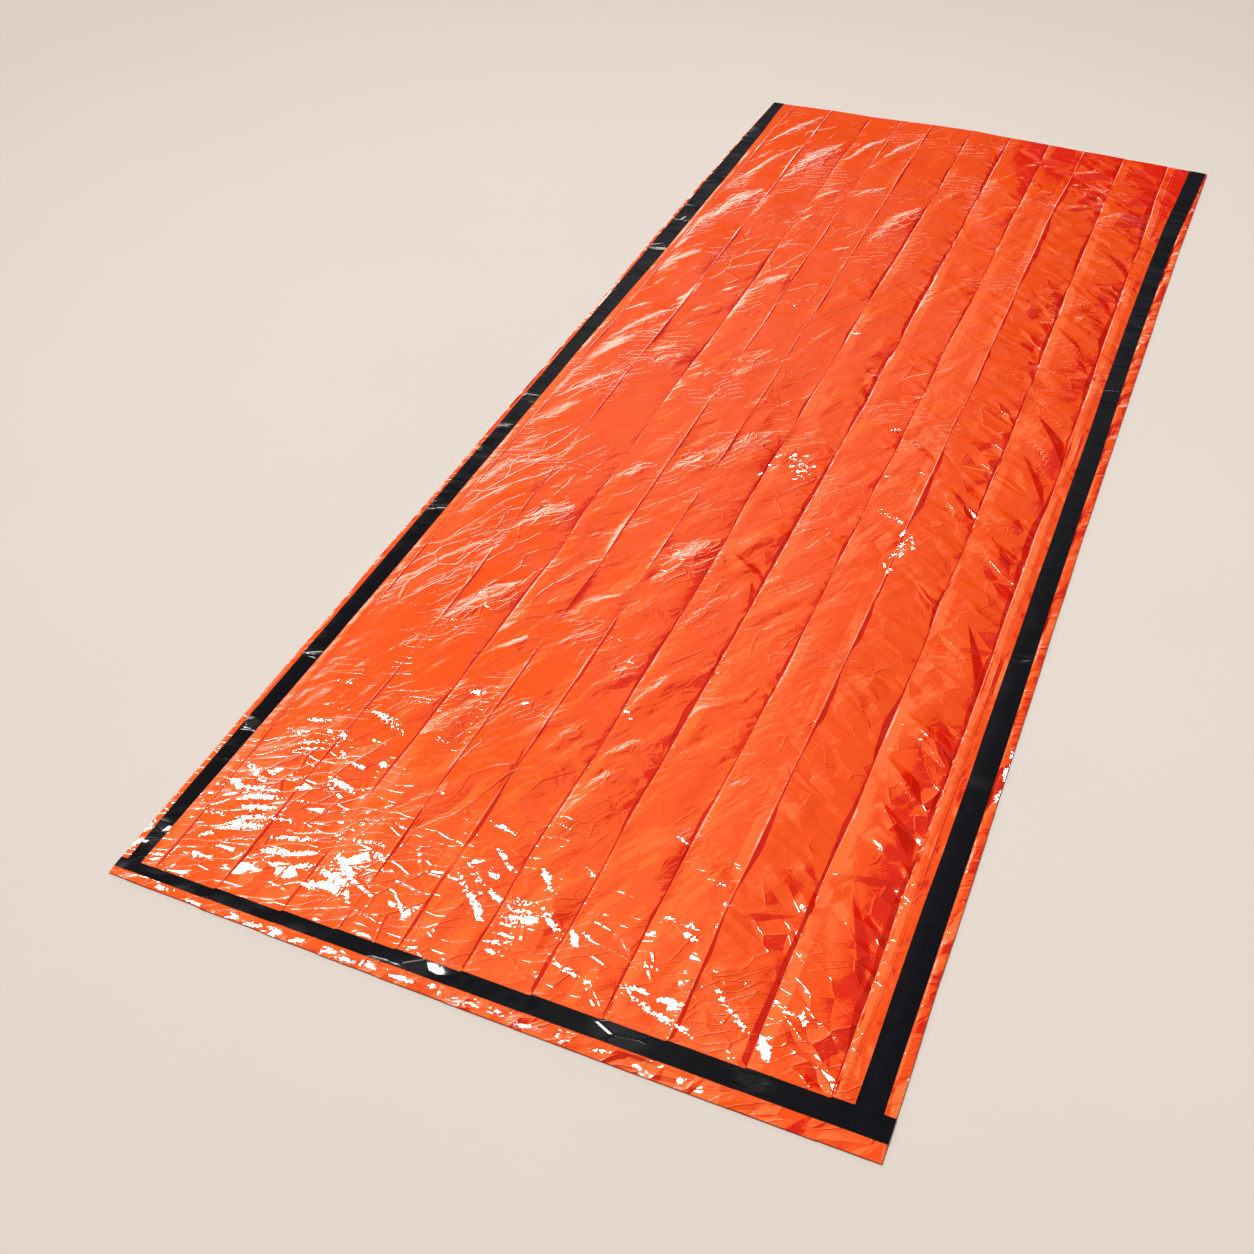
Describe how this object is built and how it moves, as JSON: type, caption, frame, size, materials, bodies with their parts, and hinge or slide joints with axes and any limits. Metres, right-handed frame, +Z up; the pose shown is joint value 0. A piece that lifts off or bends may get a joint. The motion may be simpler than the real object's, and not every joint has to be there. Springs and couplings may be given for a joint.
{
  "type": "bivy cover",
  "caption": "Long flat emergency bivy bag of creased orange film, sealed along its sides and foot with black tape and open at the head, lying flat on the floor.",
  "frame": {"origin": "on the floor, under the middle of the bag's box", "axes": "+X to the right of the bag, +Y from the foot to the open mouth, +Z up"},
  "size_m": [0.8466, 2.1404, 0.0176],
  "materials": {
    "orange_film": "glossy crinkled film",
    "black_tape": "semi-gloss adhesive tape"
  },
  "bodies": {
    "root": {"back_panel": "orange_film", "front_panel": "orange_film", "seam_tape_left": "black_tape", "seam_tape_right": "black_tape", "seam_tape_foot": "black_tape"}
  },
  "joints": []
}
